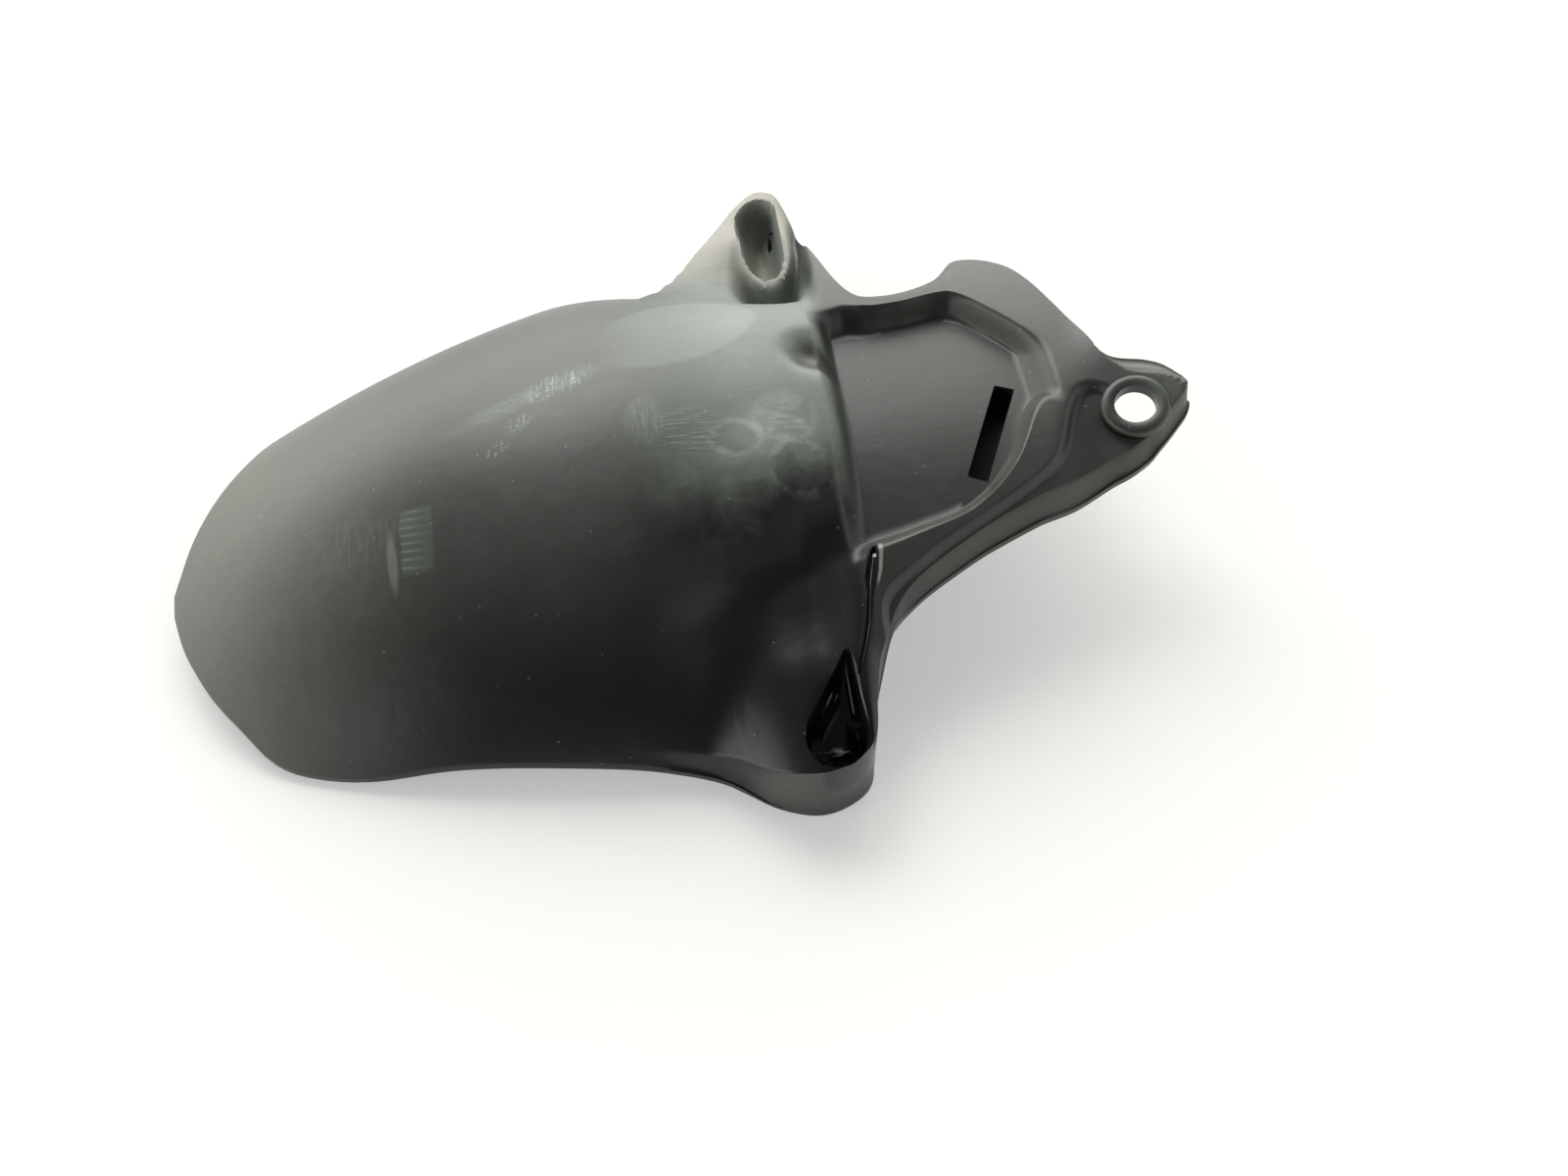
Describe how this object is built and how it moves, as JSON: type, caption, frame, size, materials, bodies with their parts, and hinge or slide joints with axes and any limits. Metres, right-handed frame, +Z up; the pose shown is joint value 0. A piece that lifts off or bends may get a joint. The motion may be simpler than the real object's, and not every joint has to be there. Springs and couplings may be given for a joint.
{
  "type": "motorcycle rear fender",
  "caption": "Arched rear fender shell with two bolted ears, a recessed front panel with a blind slot, and an arm with a ringed bolt hole.",
  "frame": {"origin": "midway between the two ear holes, in the middle of the plates they pass through", "axes": "+X forwards along the machine, the tail towards -X; +Y across the machine to the far ear; +Z up, away from the wheel"},
  "size_m": [0.3539, 0.272, 0.0679],
  "materials": {
    "fender_plastic": "satin, worn and scuffed black moulded plastic"
  },
  "bodies": {
    "root": {"fender_shell": "fender_plastic"}
  },
  "joints": []
}
